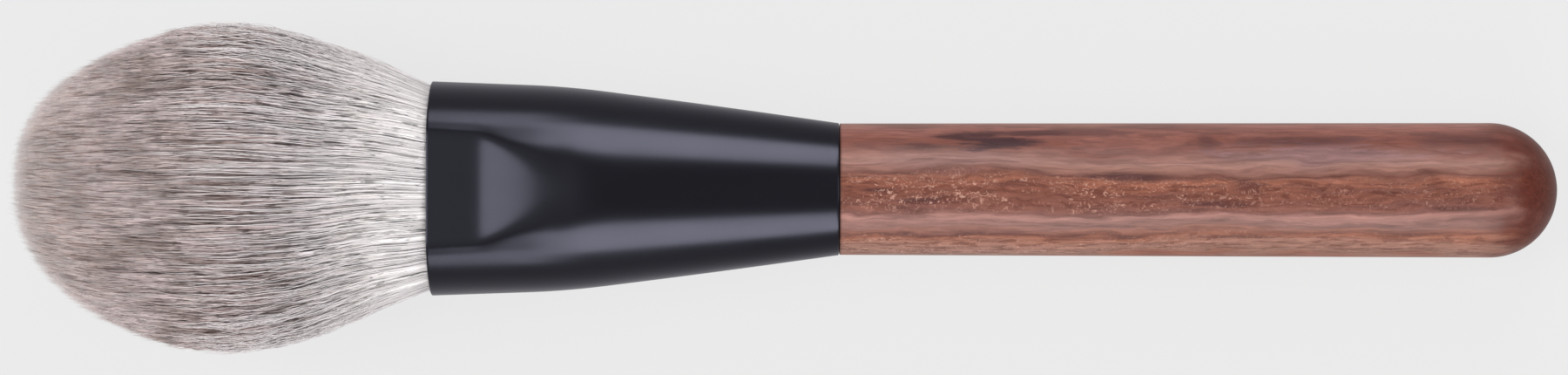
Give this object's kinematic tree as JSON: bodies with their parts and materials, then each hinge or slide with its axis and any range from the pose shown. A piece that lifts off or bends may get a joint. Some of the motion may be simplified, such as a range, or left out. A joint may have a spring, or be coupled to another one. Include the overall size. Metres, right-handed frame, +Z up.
{
  "type": "powder brush",
  "caption": "Large powder brush: a domed tuft of soft hair in a tapered metal ferrule with pressed flats, on a turned hardwood handle.",
  "frame": {"origin": "on the table under the middle of the brush's box, with the brush lying at rest on the belly of its hair and on the end of its handle", "axes": "+X along the brush from the hair towards the handle's end, +Y across its width, +Z up from the table through its thickness"},
  "size_m": [0.177, 0.0382, 0.0294],
  "materials": {
    "hair": "soft taupe goat hair, near-white at the roots",
    "ferrule_metal": "black satin anodised",
    "handle_wood": "rosewood, satin lacquer",
    "set_hair": "hair roots soaked in resin",
    "thread": "waxed cotton",
    "epoxy": "cast amber epoxy",
    "glue": "filled epoxy glue"
  },
  "bodies": {
    "root": {"hair_tuft": "hair", "ferrule": "ferrule_metal", "handle": "handle_wood", "root_knot": "set_hair", "binding_thread": "thread", "epoxy_plug": "epoxy", "handle_bond": "glue"}
  },
  "joints": []
}
